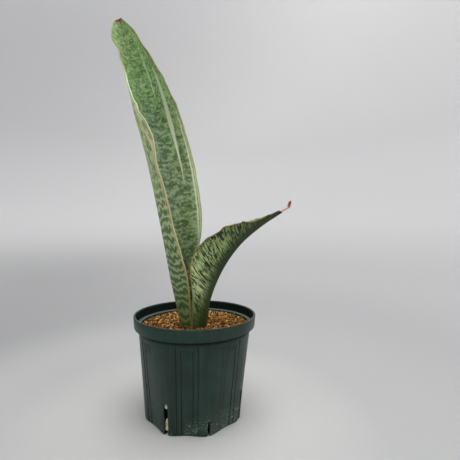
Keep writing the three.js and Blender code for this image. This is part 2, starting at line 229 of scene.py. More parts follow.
def ring_faces(ring_count, sides):
    """Quads between rings that all have the same number of points, and a fan over each end"""
    faces = []
    for r in range(ring_count - 1):
        for k in range(sides):
            a = r * sides + k
            b = r * sides + (k + 1) % sides
            faces.append((a, b, b + sides, a + sides))
    first = ring_count * sides
    last = (ring_count - 1) * sides
    for k in range(sides):
        faces.append((first, (k + 1) % sides, k))
        faces.append((first + 1, last + k, last + (k + 1) % sides))
    return faces


def closed_rings(rings):
    """Points and faces over rings of points, capped at both ends to the end rings' middles"""
    rings = np.asarray(rings, float)
    ends = np.stack([rings[0].mean(0), rings[-1].mean(0)])
    return np.concatenate([rings.reshape(-1, 3), ends]), ring_faces(*rings.shape[:2])


def skin_rings(name, rings, attributes=None):
    """Closed piece skinned over rings of points, with a grid of numbers per attribute"""
    points, faces = closed_rings(rings)
    values = {}
    for key, grid in (attributes or {}).items():
        grid = np.asarray(grid, float)
        tips = [grid[0].mean(), grid[-1].mean()]
        values[key] = np.concatenate([grid.reshape(-1), tips])
    return make_mesh(name, points, faces, values)


def along(values, share):
    """Value at a share of the way along evenly spaced values, on a smooth curve through them"""
    values = np.asarray(values, float)
    spans = len(values) - 1
    place = np.clip(share, 0, 1) * spans
    i = np.minimum(np.floor(place).astype(int), spans - 1)
    t = place - i
    first = 2 * values[0] - values[1]
    last = 2 * values[-1] - values[-2]
    padded = np.concatenate([[first], values, [last]])
    before, a, b, after = (padded[i + k] for k in range(4))
    bend = 2 * before - 5 * a + 4 * b - after
    twist = 3 * (a - b) + after - before
    return a + 0.5 * t * (b - before + t * (bend + t * twist))


def unit(vectors):
    return vectors / np.linalg.norm(vectors, axis=-1, keepdims=True)


def smoothstep(value, low, high):
    t = np.clip((value - low) / (high - low), 0, 1)
    return t * t * (3 - 2 * t)


def quarter_turn(steps):
    """Angles from 0 to a right angle"""
    return [0.5 * math.pi * k / steps for k in range(steps + 1)]


# Pot

def corner_radius(height):
    share = height / POT.neck_height
    return POT.base_corner + (POT.neck_radius - POT.base_corner) * share


def wall_radius(corner, height, angle):
    """Radius of a wall that is an octagon with cut corners at the base and a circle at the neck"""
    from_middle = np.mod(angle, SECTOR) - SECTOR / 2
    flat = math.cos(SECTOR / 2) / np.cos(from_middle)
    flat = np.minimum(flat, POT.corner_cut)
    flatness = 1 - np.clip(height / POT.neck_height, 0, 1)
    return corner * (1 + (flat - 1) * flatness)


def pot_points(radius, angle, height):
    turned = angle + math.radians(POT.corner_turn)
    x = radius * np.sin(turned)
    y = -radius * np.cos(turned)
    return np.stack([x, y, np.full_like(x, height)], -1)


def face_columns(corner):
    """Angles round the whole pot, and how much each column has of each panel and of its line"""
    line = PANEL.line_width
    inner, outer = PANEL.inner_half, PANEL.outer_half
    edge = corner * math.sin(SECTOR / 2)
    keys = [
        (-edge, 0, 0, 0, 0), (-outer, 0, 0, 0, 0), (line / 2 - outer, 1, 0, 1, 0),
        (line - outer, 1, 0, 0, 0), (-inner, 1, 0, 0, 0), (line / 2 - inner, 1, 1, 0, 1),
        (line - inner, 1, 1, 0, 0),
    ]
    keys += [(-offset, *shares) for offset, *shares in reversed(keys)]
    keys = np.array(keys)
    keys[:, 0] = SECTOR / 2 + np.arcsin(keys[:, 0] / corner)
    splits = PANEL.column_splits + PANEL.column_splits[-2::-1]
    columns = []
    for a, b, split in zip(keys[:-1], keys[1:], splits):
        columns += [a + (b - a) * k / split for k in range(split)]
    columns = np.tile(columns, (FACES, 1))
    columns[:, 0] += np.repeat(np.arange(FACES), len(columns) // FACES) * SECTOR
    return columns


def pot_ring(height, corner, inner_share, outer_share, top_line=None):
    """Ring of the panelled wall, and the painted shade on the points in a line at a panel's edge"""
    angles, outer, inner, outer_line, inner_line = face_columns(corner).T
    if top_line == "outer":
        outer_line = (outer > 0.9) * 1.0
    if top_line == "inner":
        inner_line = (inner > 0.9) * 1.0
    line = np.maximum(outer_line * outer_share, inner_line * inner_share)
    depth = (outer * outer_share + inner * inner_share) * PANEL.step
    radius = wall_radius(corner, height, angles) - depth - line * PANEL.line_depth
    return pot_points(radius, angles, height), line * PANEL.line_dirt


def even_ring(like, radius, height):
    """Round ring with its points at the same angles as another ring's"""
    ring = np.array(like)
    ring[:, :2] = unit(ring[:, :2]) * radius
    ring[:, 2] = height
    return ring


def pot_rings():
    """Rings from the middle of the base up the outside, over the lip and down the inside, with
    the painted shade in the lines, under the rim, under the base and inside, the painted
    highlights on the lip and the ledge, and what lies inside the pot"""
    p = POT
    rim_low = p.rim_radius - p.rim_taper
    base, _ = pot_ring(0, p.base_corner, 0, 0)
    neck, _ = pot_ring(p.neck_height, p.neck_radius, 0, 0)
    none = np.zeros(len(base))
    rings = []

    def add(ring, painted_shading=0, inside=0):
        rings.append((ring, none + painted_shading, none + inside))

    def add_wall(height, radius, *shares):
        add(*pot_ring(height, radius, *shares))

    def add_round(radius, height, painted_shading=0, inside=0, like=neck):
        add(even_ring(like, radius, height), painted_shading, inside)

    # The foot under the base gets painted shade
    for radius, height in (
        (p.boss, 0), (p.boss + p.foot_rise / 2, p.foot_rise),
        (p.foot_inner - p.foot_rise, p.foot_rise), (p.foot_inner, 0),
    ):
        add_round(radius, height, 1, like=base)
    for turn in quarter_turn(ROUND_STEPS):
        height = p.base_round * (1 - math.cos(turn))
        tucked = p.base_round * (1 - math.sin(turn))
        add_wall(height, corner_radius(height) - tucked, 1, 1)
    inner_top, outer_top, line = PANEL.inner_top, PANEL.outer_top, PANEL.line_width
    for height in np.linspace(p.base_round, inner_top - line, PANEL.wall_rows)[1:]:
        add_wall(height, corner_radius(height), 1, 1)
    add_wall(inner_top - line / 2, corner_radius(inner_top), 1, 1, "inner")
    add_wall(inner_top, corner_radius(inner_top), 0, 1)
    add_wall(outer_top - line, corner_radius(outer_top), 0, 1)
    add_wall(outer_top - line / 2, corner_radius(outer_top), 0, 1, "outer")
    add_wall(outer_top, corner_radius(outer_top), 0, 0)
    # Painted shadow under the rim: darkest on the neck, fading out across the rim's underside
    add_round(p.neck_radius, p.neck_height, 0.9)
    flare = rim_low - p.neck_radius
    for share_out, rise in RIM_FLARE:
        add_round(p.neck_radius + flare * share_out, p.rim_bottom + rise, 1 - share_out)
    lip = p.lip_round
    for turn in quarter_turn(ROUND_STEPS):
        height = p.height - lip * (1 - math.sin(turn))
        add_round(p.rim_radius - lip * (1 - math.cos(turn)), height)
    inside = p.rim_radius - p.rim_wall
    # The inner round of the lip gets a painted highlight
    for turn in quarter_turn(ROUND_STEPS):
        height = p.height - lip * (1 - math.cos(turn))
        add_round(inside + lip / 2 * (1 - math.sin(turn)), height, LIP_HIGHLIGHT)
    ledge = p.ledge_top
    wall_in = p.neck_radius - p.wall
    rim_in = rim_low - p.rim_wall
    # Inside the pot: painted shade on the rim's inner side, the wall below the ledge and the floor
    add_round(inside - 0.1, p.height - 2.5, 0, 1)
    add_round(rim_in, ledge + 1.2, 0.4, 1)
    add_round(rim_in - 0.3, ledge + 0.3, 0.2, 0.5)
    # The ledge gets a painted highlight
    for inset, drop in ((rim_in - 1.2 - wall_in, 0), (1, 0), (0.3, 0.4)):
        add_round(wall_in + inset, ledge - drop, LEDGE_HIGHLIGHT)
    add_round(wall_in, ledge - 1.5, 0.4, 0.5)
    add_round(wall_in, p.neck_height, 1, 1)
    for height in (p.neck_height / 2, p.floor):
        ring, _ = pot_ring(height, corner_radius(height) - p.wall, 0, 0)
        add(ring, 1, 1)
    hollow = p.foot_inner + p.floor
    for rise in (0, p.foot_rise):
        add_round(hollow - rise, p.floor + rise, 1, 1, base)
    return rings


def slit_cutter(corner):
    """Tall box with a rounded top that cuts one slit through the wall and on under the base"""
    kind = "long" if corner % 2 == 1 else "short"
    half = SLIT[kind + "_width"] / 2
    outline = [(-half, -SLIT["below"]), (half, -SLIT["below"])]
    for k in range(SLIT["arch_steps"] + 1):
        turn = math.pi * k / SLIT["arch_steps"]
        drop = half * SLIT["arch_rise"] * (1 - math.sin(turn))
        outline.append((half * math.cos(turn), SLIT[kind + "_top"] - drop))
    near = POT.base_corner - SLIT["reach"]
    far = POT.base_corner + SLIT["beyond"]
    rings = [[(x, -y, z) for x, z in outline] for y in (near, far)]
    cutter = skin_rings(f"slit_cutter_{corner}", rings)
    turn = math.radians(POT.corner_turn) + corner * SECTOR
    cutter.data.transform(Matrix.Rotation(turn, 4, "Z"))
    fix_normals(cutter)
    return cutter


def fix_normals(piece):
    """Turns every face of a closed mesh outwards"""
    work = bmesh.new()
    work.from_mesh(piece.data)
    bmesh.ops.recalc_face_normals(work, faces=work.faces)
    work.to_mesh(piece.data)
    work.free()


def apply_modifiers(piece):
    """Replaces the mesh by its shape after the modifiers, which are then removed"""
    graph = bpy.context.evaluated_depsgraph_get()
    shaped = bpy.data.meshes.new_from_object(piece.evaluated_get(graph))
    piece.modifiers.clear()
    piece.data = shaped


def make_pot():
    rings, painted_shadings, insides = zip(*pot_rings())
    pot = skin_rings("pot_body", rings, {"painted_shading": painted_shadings, "inside": insides})
    fix_normals(pot)
    for corner in range(FACES):
        cutter = slit_cutter(corner)
        cut = pot.modifiers.new("slit", "BOOLEAN")
        cut.operation = "DIFFERENCE"
        cut.solver = "EXACT"
        cut.object = cutter
        bpy.context.view_layer.update()
        apply_modifiers(pot)
        bpy.data.objects.remove(cutter)
    pot.data.set_sharp_from_angle(angle=math.radians(SHARP_ANGLE))
    return pot


# Leaves

def humps(share, rows):
    """Sum of smooth humps, each with its place, height and length"""
    total = np.zeros_like(share)
    for at, height, length in rows:
        total = total + height * np.exp(-(((share - at) / length) ** 2))
    return total


def wing_width(leaf, share, wing):
    """Width of one wing along its surface, with the waves of its margin and the round of the tip"""
    tip = np.clip((share - leaf["tip_start"]) / (1 - leaf["tip_start"]), 0, 1)
    width = along(leaf[wing + "_width"], share) + humps(share, leaf[wing + "_waves"])
    return width * np.sqrt(1 - (BLUNT_TIP * tip) ** 2)


def middle_line(leaf, share):
    return np.stack([along(leaf[axis], share) for axis in "xyz"], -1)


def margin_ripple(rng, lengths):
    """Small irregular wave along a margin, about 1 high"""
    total = np.zeros_like(lengths)
    for _ in range(RIPPLE.waves):
        wave = rng.uniform(RIPPLE.shortest, RIPPLE.longest)
        phase = rng.uniform(0, 2 * math.pi)
        total += np.sin(2 * math.pi * lengths / wave + phase) * math.sqrt(wave)
    return total / np.abs(total).max()


def blade_grid(leaf, share, lengths):
    """Inner and outer faces of the blade, and the distance across along the surface"""
    rng = np.random.default_rng(leaf["ripple_seed"])
    ahead = middle_line(leaf, np.minimum(share + BLADE.nudge, 1))
    up = unit(ahead - middle_line(leaf, np.maximum(share - BLADE.nudge, 0)))
    facing = np.radians(along(leaf["facing"], share))
    opening = np.stack([np.sin(facing), -np.cos(facing), np.zeros_like(facing)], -1)
    opening = unit(opening - up * (opening * up).sum(-1, keepdims=True))
    sideways = np.cross(up, opening)
    fold = np.radians(along(leaf["fold"], share))[:, None]
    curl = np.radians(along(leaf["curl"], share))[:, None]
    across = np.linspace(-1, 1, BLADE.columns)[None, :]
    side = np.sign(across)
    out = np.abs(across)
    grown = smoothstep(lengths, *RIPPLE.grows)
    wings = []
    for wing in ("left", "right"):
        width = wing_width(leaf, share, wing) - RIM_BULGE * along(leaf["edge"], share) / 2
        width += RIPPLE.width * grown * margin_ripple(rng, lengths)
        flutter = RIPPLE.flutter * grown * margin_ripple(rng, lengths)
        wings.append((width, flutter, humps(share, leaf[wing + "_folds"])))
    width, flutter, fold_in = (
        np.where(side < 0, left[:, None], right[:, None]) for left, right in zip(*wings)
    )
    reach = width / curl
    slope = fold + curl * out
    over = side * reach * (np.sin(slope) - np.sin(fold))
    rise = reach * (np.cos(fold) - np.cos(slope))
    middle = middle_line(leaf, share)[:, None, :]
    sideways = sideways[:, None, :]
    opening = opening[:, None, :]
    turn = slope * smoothstep(out, 0, BLADE.channel_round)
    outward = (side * np.sin(turn))[..., None] * sideways - np.cos(turn)[..., None] * opening
    inner = middle + over[..., None] * sideways + rise[..., None] * opening
    lift = flutter * smoothstep(out, BLADE.flutter_from, 1)
    lift = lift - fold_in * smoothstep(out, BLADE.fold_from, 1)
    inner = inner + outward * lift[..., None]
    edge = along(leaf["edge"], share)[:, None]
    keel = along(leaf["keel"], share)[:, None]
    thickness = edge + (keel - edge) * (1 - out) ** BLADE.thinning
    outer = inner + outward * thickness[..., None]
    return inner, outer, width * out, side


def rim_arc(inner, outer, beside):
    """Points that round the margin off, from the inner face's last point to the outer face's"""
    middle = (inner + outer) / 2
    half = (inner - outer) / 2
    outwards = unit(inner - beside) * np.linalg.norm(half, axis=-1, keepdims=True) * RIM_BULGE
    arcs = []
    for k in range(1, RIM_STEPS + 1):
        turn = math.pi * k / (RIM_STEPS + 1)
        arcs.append(middle + half * math.cos(turn) + outwards * math.sin(turn))
    return np.stack(arcs, 1)


def mark_grids(mark, lengths, grids):
    """How far each point lies from a mark's middle line, and half the mark's width there"""
    middle = np.interp(lengths, mark["along"], mark["place"])[:, None]
    half = np.interp(lengths, mark["along"], mark["width"], left=0, right=0)[:, None] / 2
    on_face = np.abs(grids["face"] - mark["face"]) < 0.5
    shown = on_face & (np.sign(grids["across"]) == mark["wing"])
    off = np.where(shown, grids[mark["from"]] - middle, FAR_OFF)
    return off, half + np.zeros_like(off)


def leaf_rings(leaf):
    """Rings round the blade from its buried foot to its tip, with the numbers its finish uses"""
    share = np.linspace(0, 1, leaf["rows"])
    steps = np.linalg.norm(np.diff(middle_line(leaf, share), axis=0), axis=1)
    lengths = np.concatenate([[0], np.cumsum(steps)])
    inner, outer, width, side = blade_grid(leaf, share, lengths)
    right_arc = rim_arc(inner[:, -1], outer[:, -1], inner[:, -2])
    left_arc = rim_arc(inner[:, 0], outer[:, 0], inner[:, 1])[:, ::-1]
    rings = np.concatenate([inner, right_arc, outer[:, ::-1], left_arc], 1)
    signed = width * side
    margin = np.where(side < 0, width[:, :1], width[:, -1:]) - width
    left_edge, right_edge = (np.repeat(signed[:, [k]], RIM_STEPS, 1) for k in (0, -1))
    arc = np.tile(np.arange(1, RIM_STEPS + 1) / (RIM_STEPS + 1), (len(share), 1))
    bulge = -np.sin(math.pi * arc)
    zeros = np.zeros_like(signed)
    grids = {
        "across": (signed, right_edge, signed[:, ::-1], left_edge),
        "rim": (margin, bulge, margin[:, ::-1], bulge),
        "face": (zeros, arc, zeros + 1, arc[:, ::-1]),
    }
    grids = {key: np.concatenate(parts, 1) for key, parts in grids.items()}
    grids["length"] = np.repeat(lengths[:, None], rings.shape[1], 1)
    return add_tip_cap(*add_foot(leaf, rings, grids))


def add_foot(leaf, rings, grids):
    """Rings of the buried foot, drawn in towards the middle on the way down"""
    rows = BURIED.rows
    middle = middle_line(leaf, np.array([0.0]))[0]
    down = np.arange(rows, 0, -1)[:, None, None] / rows
    foot = np.repeat(rings[:1], rows, 0)
    foot[..., :2] += (middle[:2] - foot[..., :2]) * BURIED.narrowing * down
    foot[..., 2] -= BURIED.depth * down[..., 0]
    grown = {key: np.concatenate([np.repeat(g[:1], rows, 0), g]) for key, g in grids.items()}
    grown["length"][:rows] -= BURIED.depth * down[..., 0]
    return np.concatenate([foot, rings]), grown


def add_tip_cap(rings, grids):
    """Rings that round off the blunt end"""
    steps = TIP_CAP.steps
    last = rings[-1]
    middle = last.mean(0)
    ahead = unit(middle - rings[-4].mean(0))
    caps = []
    for k in range(1, steps + 1):
        turn = 0.5 * math.pi * k / (steps + 0.3)
        drawn = middle + (last - middle) * math.cos(turn)
        caps.append(drawn + ahead * TIP_CAP.reach * math.sin(turn))
    grown = {key: np.concatenate([g, np.repeat(g[-1:], steps, 0)]) for key, g in grids.items()}
    return np.concatenate([rings, np.stack(caps)]), grown


def make_leaf(name, leaf, marks):
    rings, grids = leaf_rings(leaf)
    lengths = grids["length"][:, 0]
    for key, mark in marks.items():
        grids[key + "_off"], grids[key + "_half"] = mark_grids(mark, lengths, grids)
    grids["dry"] = np.zeros_like(grids["rim"])
    piece = skin_rings(name, rings, grids)
    fix_normals(piece)
    return piece


def spline_points(points, count):
    """Points along a smooth curve through the given points"""
    points = np.asarray(points, float)
    share = np.linspace(0, 1, count)
    return np.stack([along(points[:, axis], share) for axis in range(3)], -1)


def make_withered_tip(leaf):
    """Dead curl that goes on from the leaf's tip, thin and twisted, and narrow at its end"""
    w = WITHERED_TIP
    tip = np.array([leaf[axis][-1] for axis in "xyz"], float)
    line = spline_points(WITHERED_ROUTE, w.rows) + tip
    ahead = unit(np.gradient(line, axis=0))
    across = unit(np.cross(ahead, [0, 1, 0]))
    depth = np.cross(across, ahead)
    rng = np.random.default_rng(w.seed)
    share = np.linspace(0, 1, w.rows)
    pinch = 1 + w.pinch * margin_ripple(rng, share * w.pinch_span)
    curled = 1 + (w.curled - 1) * smoothstep(share, w.curled_from, w.curled_to)
    blunt = smoothstep(1 - share, -0.02, 0.12)
    half_width = w.half_width * pinch * curled * blunt
    half_thickness = w.half_thickness * curled * blunt
    twist = w.twist * share[:, None]
    side = across * np.cos(twist) + depth * np.sin(twist)
    face = depth * np.cos(twist) - across * np.sin(twist)
    rings = []
    for k in range(w.sides):
        turn = 2 * math.pi * k / w.sides
        wide = (half_width * math.cos(turn))[:, None]
        thick = (half_thickness * math.sin(turn))[:, None]
        rings.append(line + side * wide + face * thick)
    rings = np.stack(rings, 1)
    zeros = np.zeros(rings.shape[:2])
    grids = {
        "across": zeros, "rim": zeros + w.off_margin, "face": zeros,
        "length": zeros + share[:, None] * w.length, "dry": zeros + 1,
    }
    piece = skin_rings("withered_tip", rings, grids)
    fix_normals(piece)
    return piece


def join(pieces):
    """One object made of several"""
    with bpy.context.temp_override(
        active_object=pieces[0], object=pieces[0],
        selected_objects=pieces, selected_editable_objects=pieces,
    ):
        bpy.ops.object.join()
    return pieces[0]


# Fillings

def fill_ring(height):
    """Ring of what fills the pot, clear of the wall's inner side"""
    corner = corner_radius(min(height, POT.neck_height)) - POT.wall - FILL_ROOM
    angles = np.linspace(0, 2 * math.pi, FILL_SIDES, endpoint=False)
    return pot_points(wall_radius(corner, height, angles), angles, height)


def soil_height(radius):
    """Height of the domed soil at a distance from the middle"""
    edge = corner_radius(POT.neck_height) - POT.wall - FILL_ROOM
    share = np.clip(radius / edge, 0, 1)
    return SOIL.top - SOIL.edge_drop + SOIL.edge_drop * (1 - share ** 2)


def grain_template(level):
    """Points and faces of a ball of 20 or 80 triangles, 1 in radius"""
    work = bmesh.new()
    bmesh.ops.create_icosphere(work, subdivisions=level, radius=1)
    points = np.array([v.co for v in work.verts])
    faces = np.array([[v.index for v in f.verts] for f in work.faces])
    work.free()
    return points, faces


def random_turns(rng, count):
    """Random rotations, one matrix each"""
    w, x, y, z = unit(rng.normal(size=(count, 4))).T
    rows = [
        [1 - 2 * (y * y + z * z), 2 * (x * y - z * w), 2 * (x * z + y * w)],
        [2 * (x * y + z * w), 1 - 2 * (x * x + z * z), 2 * (y * z - x * w)],
        [2 * (x * z - y * w), 2 * (y * z + x * w), 1 - 2 * (x * x + y * y)],
    ]
    return np.moveaxis(np.array(rows), 2, 0)


def make_grains(rng, level, centres, radii):
    """Rough grains at the given places: points, faces and a random number for each point's tint"""
    template, faces = grain_template(level)
    count = len(centres)
    stretch = rng.uniform(*GRAIN_STRETCH, (count, 1, 3))
    rough = rng.uniform(*GRAIN_ROUGHNESS, (count, len(template), 1))
    shapes = template[None] * stretch * rough * radii[:, None, None]
    points = np.einsum("nij,nkj->nki", random_turns(rng, count), shapes) + centres[:, None, :]
    starts = np.arange(count)[:, None, None] * len(template)
    tints = np.repeat(rng.uniform(0, 1, count), len(template))
    return points.reshape(-1, 3), (faces[None] + starts).reshape(-1, 3), tints


def mesh_of_parts(name, parts):
    """One piece from lists of points, faces and tints"""
    points, faces, tints = zip(*parts)
    joined = []
    start = 0
    for part_points, part_faces in zip(points, faces):
        joined += (np.asarray(part_faces) + start).tolist()
        start += len(part_points)
    return make_mesh(name, np.concatenate(points), joined, {"tint": np.concatenate(tints)})


def core_part(rings, tint):
    """Closed core as points, triangles and one tint, to go with grains"""
    points, faces = closed_rings(rings)
    triangles = [(f[0], f[k], f[k + 1]) for f in faces for k in range(1, len(f) - 1)]
    return points, triangles, np.full(len(points), tint)


def inside_outline(points, outline):
    """Which points lie inside a closed outline, both seen from above"""
    inside = np.zeros(len(points), bool)
    for a, b in zip(outline, np.roll(outline, -1, 0)):
        crosses = (a[1] > points[:, 1]) != (b[1] > points[:, 1])
        rise = np.where(crosses, (points[:, 1] - a[1]) / (b[1] - a[1] + 1e-9), 0)
        inside ^= crosses & (points[:, 0] < a[0] + rise * (b[0] - a[0]))
    return inside


def make_soil(leaf_outlines):
    rng = np.random.default_rng(SOIL.seed)
    rim = fill_ring(SOIL.top - SOIL.edge_drop - SOIL.under_grains)
    levels = (PUMICE.top + FILL_GAP, *SOIL.levels, POT.neck_height)
    rings = [fill_ring(height) for height in levels] + [rim]
    for r in range(1, SOIL.rings + 1):
        share = 1 - r / (SOIL.rings + 0.5)
        ring = rim * [share, share, 1]
        reach = np.hypot(ring[:, 0], ring[:, 1])
        uneven = rng.uniform(-0.5, 0.5, len(ring)) * SOIL.bump
        ring[:, 2] = soil_height(reach) - SOIL.under_grains + uneven
        rings.append(ring)
    # The core under the grains has a low tint, which its finish makes dark brown as painted shade
    # between them
    parts = [core_part(rings, SOIL.tint)]
    edge = np.hypot(*rim[:, :2].T).min()
    for kind, level, lift in (("large", 2, 0.1), ("small", 1, -0.2)):
        count = SOIL_GRAINS[kind]
        low, high = SOIL_GRAINS[kind + "_size"]
        radii = rng.uniform(low, high, count) / 2
        angle = rng.uniform(0, 2 * math.pi, count)
        reach = (edge - radii) * np.sqrt(rng.uniform(0, 1, count))
        flat = np.stack([reach * np.cos(angle), reach * np.sin(angle)], -1)
        free = np.ones(count, bool)
        for outline in leaf_outlines:
            free &= ~inside_outline(flat, outline)
        centres = np.column_stack([flat, soil_height(reach) + lift * radii])
        centres[:, 2] += rng.uniform(*SOIL.sunk, count)
        parts.append(make_grains(rng, level, centres[free], radii[free]))
    return mesh_of_parts("soil_granules", parts)


def make_pumice():
    """Layer at the bottom, with loose grains heaped behind the long slits"""
    rng = np.random.default_rng(PUMICE.seed)
    low = POT.floor + FILL_GAP
    bottom = fill_ring(low)
    hollow = POT.foot_inner + POT.floor + PUMICE.foot_room
    rings = [
        even_ring(bottom, hollow - POT.foot_rise, low + POT.foot_rise),
        even_ring(bottom, hollow, low),
    ]
    share = 1 - PUMICE.setback / POT.base_corner
    for height in (low, PUMICE.top):
        rings.append(fill_ring(height) * [share, share, 1])
    # The core has tint 0, which its finish paints near black as shade between the grains
    parts = [core_part(rings, 0)]
    small, large = PUMICE.grain_size
    for corner in range(1, FACES, 2):
        for lowest, highest, count in PUMICE.heaps:
            spread = rng.uniform(-PUMICE.spread, PUMICE.spread, count)
            height = rng.uniform(lowest, highest, count)
            radii = rng.uniform(small, large, count) / 2
            reach = corner_radius(height) * POT.corner_cut - POT.wall - radii
            angle = corner * SECTOR + spread / reach
            centres = pot_points(reach, angle, 0.0)
            centres[:, 2] = height
            parts.append(make_grains(rng, 2, centres, radii))
    return mesh_of_parts("pumice_grains", parts)


# Materials

class Finish:
    """Adds nodes to one material. A value given for an input may be a number, colour or socket"""

    def __init__(self, name):
        self.material = bpy.data.materials.new(name)
        self.material.use_nodes = True
        self.tree = self.material.node_tree
        self.shader = self.tree.nodes["Principled BSDF"]

    def put(self, socket, value):
        if isinstance(value, bpy.types.NodeSocket):
            self.tree.links.new(value, socket)
        else:
            socket.default_value = value

    def add(self, kind, inputs, output=0, **settings):
        node = self.tree.nodes.new(kind)
        for key, value in settings.items():
            setattr(node, key, value)
        for key, value in inputs.items():
            self.put(node.inputs[key], value)
        return node.outputs[output]

    def attribute(self, name):
        return self.add("ShaderNodeAttribute", {}, "Fac", attribute_name=name)

    def place(self):
        """Place on the object, in millimetres"""
        return self.scaled(self.add("ShaderNodeTexCoord", {}, "Object"), (1 / MM,) * 3)

    def axis(self, vector, name):
        return self.add("ShaderNodeSeparateXYZ", {0: vector}, name)

    def vector(self, x, y, z=0):
        return self.add("ShaderNodeCombineXYZ", {0: x, 1: y, 2: z})

    def with_vector(self, operation, vector, other=(0, 0, 0), output=0):
        return self.add("ShaderNodeVectorMath", {0: vector, 1: other}, output, operation=operation)

    def scaled(self, vector, factors):
        return self.with_vector("MULTIPLY", vector, factors)

    def math(self, operation, a, b=0, c=0):
        return self.add("ShaderNodeMath", {0: a, 1: b, 2: c}, operation=operation)

    def times(self, result, *factors):
        for factor in factors:
            result = self.math("MULTIPLY", result, factor)
        return result

    def total(self, *terms):
        """Sum of sockets, each with its own weight"""
        result = 0
        for socket, weight in terms:
            result = self.math("MULTIPLY_ADD", socket, weight, result)
        return result

    def steps(self, value, low, high):
        """0 below low and 1 above high, smooth between"""
        inputs = {"Value": value, "From Min": low, "From Max": high}
        return self.add("ShaderNodeMapRange", inputs, interpolation_type="SMOOTHSTEP")

    def blend(self, share, a, b):
        """Number between a and b"""
        return self.add("ShaderNodeMapRange", {"Value": share, "To Min": a, "To Max": b})

    def mix(self, share, a, b):
        """Colour between a and b. The inputs and the output are the node's own for colours"""
        node = self.tree.nodes.new("ShaderNodeMix")
        node.data_type = "RGBA"
        for socket, value in ((0, share), (6, a), (7, b)):
            self.put(node.inputs[socket], value)
        return node.outputs[2]

    def graded(self, value, stops):
        """Number or colour that changes with a value, smoothly from each stop to the next"""
        place, result = stops[0]
        join = self.mix if isinstance(result, tuple) else self.blend
        for next_place, next_result in stops[1:]:
            result = join(self.steps(value, place, next_place), result, next_result)
            place = next_place
        return result

    def noise(self, vector, scale, detail=2, roughness=0.5, output=0):
        """Noise whose scale is one number, or one for each axis"""
        if isinstance(scale, tuple):
            vector = self.scaled(vector, scale)
            scale = 1
        inputs = {"Vector": vector, "Scale": scale, "Detail": detail, "Roughness": roughness}
        return self.add("ShaderNodeTexNoise", inputs, output)

    def warped(self, vector, amount, scale):
        """Vector pushed about by noise"""
        push = self.noise(vector, scale, output="Color")
        centred = self.with_vector("ADD", push, (-0.5,) * 3)
        return self.with_vector("ADD", vector, self.scaled(centred, (amount,) * 3))

    def bump(self, height, distance):
        return self.add("ShaderNodeBump", {"Height": height, "Distance": distance * MM})

    def finish(self, piece, base, roughness, specular, normal=None):
        """Gives the piece this material, with these inputs on its shader"""
        self.put(self.shader.inputs["Base Color"], base)
        self.put(self.shader.inputs["Roughness"], roughness)
        self.put(self.shader.inputs["Specular IOR Level"], specular)
        if normal is not None:
            self.put(self.shader.inputs["Normal"], normal)
        piece.data.materials.clear()
        piece.data.materials.append(self.material)


class LeafFinish(Finish):
    """Finish that knows each point's place on a leaf, from the numbers that the mesh carries"""

    def __init__(self, name):
        super().__init__(name)
        self.across = self.attribute("across")
        self.length = self.attribute("length")
        self.rim = self.attribute("rim")
        self.face = self.attribute("face")
        self.dry = self.attribute("dry")
        self.spread = self.math("ABSOLUTE", self.across)
        self.flat = self.vector(self.across, self.length)

    def along(self, stops):
        """Number or colour that changes with the length from the soil"""
        return self.graded(self.length, stops)


def colour(red, green, blue, light=1):
    """Linear colour from 0-255 screen values, made lighter or darker"""
    def linear(value):
        value /= 255
        return value / 12.92 if value <= 0.04045 else ((value + 0.055) / 1.055) ** 2.4
    return tuple(linear(v) * light for v in (red, green, blue)) + (1.0,)


def leaf_colour(red, green, blue):
    return colour(red, green, blue, LEAF_LIGHT)


def leaf_stops(*rows):
    """Stops from rows of a length from the soil, then red, green and blue"""
    return [(length, leaf_colour(*tone)) for length, *tone in rows]


def blotches(m):
    """Soft blotches in crosswise bands low on the leaf, and finer and rounder towards its tip"""
    flat = m.warped(m.flat, 4, 0.09)
    bands = m.noise(flat, (0.085, 0.17, 1), 1)
    spots = m.noise(flat, (0.25, 0.27, 1), 2, 0.55)
    specks = m.noise(flat, (0.7, 0.45, 1), 1)
    coarse = m.total((bands, 0.55), (spots, 0.35), (specks, 0.1))
    fine = m.total((bands, 0.25), (spots, 0.4), (specks, 0.35))
    return m.steps(m.blend(m.steps(m.length, 240, 380), coarse, fine), 0.39, 0.61)


def wavy_bands(m):
    """Zigzag bands across the tall leaf's back, and lengthwise streaks higher up"""
    drift = m.noise(m.flat, (0.05, 0.035, 1), 2, 0.55)
    jitter = m.noise(m.flat, (0.25, 0.2, 1), 2, 0.6)
    zigzag = m.math("PINGPONG", m.total((m.across, 1), (jitter, 9)), ZIGZAG_WIDTH)
    level = m.total((m.length, 1), (zigzag, 0.48), (drift, 30), (jitter, 5))
    wave = m.math("SINE", m.times(level, 2 * math.pi / BAND_SPACING))
    spots = m.noise(m.flat, (0.3, 0.45, 1), 2, 0.6)
    bands = m.steps(m.total((wave, 0.3), (spots, 0.8), (jitter, 0.4)), 0.44, 0.92)
    streaks = m.noise(m.warped(m.flat, 5, 0.05), (0.42, 0.05, 1), 3, 0.6)
    return m.blend(m.steps(m.length, 165, 235), bands, m.steps(streaks, 0.4, 0.6))


def flame_streaks(m):
    """Fine streaks on the short leaf's back that climb towards its margins"""
    slant = m.along([(35, 1.05), (80, 0.5), (150, 0.34)])
    level = m.math("SUBTRACT", m.length, m.times(m.spread, slant))
    flat = m.warped(m.vector(m.across, level), 3, 0.11)
    streaks = m.noise(flat, (0.065, 0.55, 1), 2, 0.55)
    patches = m.noise(flat, (0.07, 0.1, 1), 1)
    return m.steps(m.total((streaks, 1), (patches, 0.2)), 0.53, 0.67)


